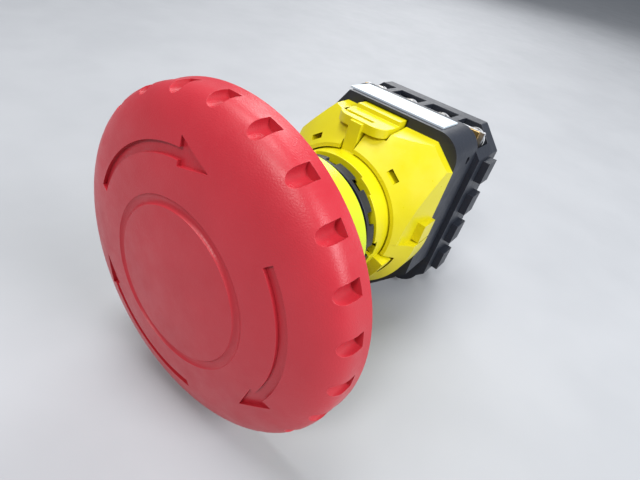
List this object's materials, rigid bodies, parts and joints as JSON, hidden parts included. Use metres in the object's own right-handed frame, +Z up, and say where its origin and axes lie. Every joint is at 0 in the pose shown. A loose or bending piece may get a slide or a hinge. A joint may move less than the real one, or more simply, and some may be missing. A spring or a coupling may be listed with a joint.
{
  "type": "emergency stop button",
  "caption": "Red mushroom push button with a yellow collar, threaded neck, notched ring nut and a terminal block; pushes to lock, turns to reset.",
  "frame": {"origin": "on the push axis, at the face of the gasket that lies on the panel's front", "axes": "+Y along the push, through the panel towards the terminals; the head is on -Y. +Z is up, towards the marking strip. +X is to the operator's right."},
  "size_m": [0.06, 0.0817, 0.06],
  "materials": {
    "head_red": "satin moulded plastic, fine grain",
    "stem_black": "satin moulded plastic",
    "natural_plastic": "natural acetal, satin",
    "spring_steel": "drawn wire, bright",
    "plated_steel": "zinc plated, satin",
    "screw_steel": "zinc plated, bright",
    "collar_yellow": "gloss moulded plastic, greenish yellow",
    "housing_yellow": "semi-gloss moulded plastic",
    "lever_yellow": "semi-gloss moulded plastic",
    "neck_black": "satin moulded plastic",
    "washer_black": "satin moulded plastic",
    "ring_black": "satin moulded plastic",
    "base_black": "satin moulded plastic, fine grain",
    "cover_black": "satin moulded plastic, fine grain",
    "strip_pale": "blank pale film, satin",
    "seal_rubber": "soft black rubber",
    "gasket_rubber": "soft black rubber",
    "brass": "stamped strip, satin",
    "silver": "silver alloy, satin"
  },
  "bodies": {
    "unit": {"bezel": "collar_yellow", "operator_sleeve": "neck_black", "wiper_seal": "seal_rubber", "panel_gasket": "gasket_rubber", "front_housing": "housing_yellow", "contact_base": "base_black", "marking_strip": "strip_pale", "rear_cover": "cover_black", "terminal_strips": "brass", "fixed_tips": "silver", "terminal_clamps": "plated_steel", "terminal_screws": "screw_steel", "push_spring": "spring_steel", "plunger_spring": "spring_steel", "bayonet_springs": "spring_steel"},
    "slider": {"latch_slider": "natural_plastic", "latch_pins": "plated_steel", "latch_springs": "spring_steel", "turn_spring": "spring_steel"},
    "head": {"button_head": "head_red", "head_stem": "stem_black", "stem_clip": "spring_steel"},
    "washer": {"thrust_washer": "washer_black"},
    "ring_nut": {"locking_ring": "ring_black"},
    "bayonet": {"bayonet_ring": "lever_yellow"},
    "cross_head": {"contact_plunger": "natural_plastic", "contact_bridges": "brass", "bridge_tips": "silver", "bridge_springs": "spring_steel"}
  },
  "joints": [
    {"name": "push", "type": "slide", "parent": "unit", "child": "slider", "axis": [0, 1, 0], "range_m": [0, 0.004], "stiffness_N_per_m": 1500, "deforming": ["push_spring"]},
    {"name": "turn_to_reset", "type": "hinge", "parent": "slider", "child": "head", "pos_m": [0, 0, 0], "axis": [0, 1, 0], "range_deg": [0, 45], "stiffness_Nm_per_rad": 0.05, "deforming": ["turn_spring"]},
    {"name": "contact_travel", "type": "slide", "parent": "unit", "child": "cross_head", "axis": [0, 1, 0], "range_m": [0, 0.004], "deforming": ["plunger_spring"]},
    {"name": "washer_slide", "type": "slide", "parent": "unit", "child": "washer", "axis": [0, 1, 0], "range_m": [-0.00202, 0.00022]},
    {"name": "ring_nut_turn", "type": "hinge", "parent": "washer", "child": "ring_nut", "pos_m": [0, 0.004, 0], "axis": [0, 1, 0], "range_deg": [-480, 48]},
    {"name": "bayonet_pull", "type": "slide", "parent": "unit", "child": "bayonet", "axis": [0, 1, 0], "range_m": [0, 0.0022], "stiffness_N_per_m": 800, "deforming": ["bayonet_springs"]}
  ],
  "couplings": [
    {"joint": "contact_travel", "follows": "push", "ratio": 1},
    {"joint": "washer_slide", "follows": "ring_nut_turn", "m_per_rad": 0.00023873}
  ]
}
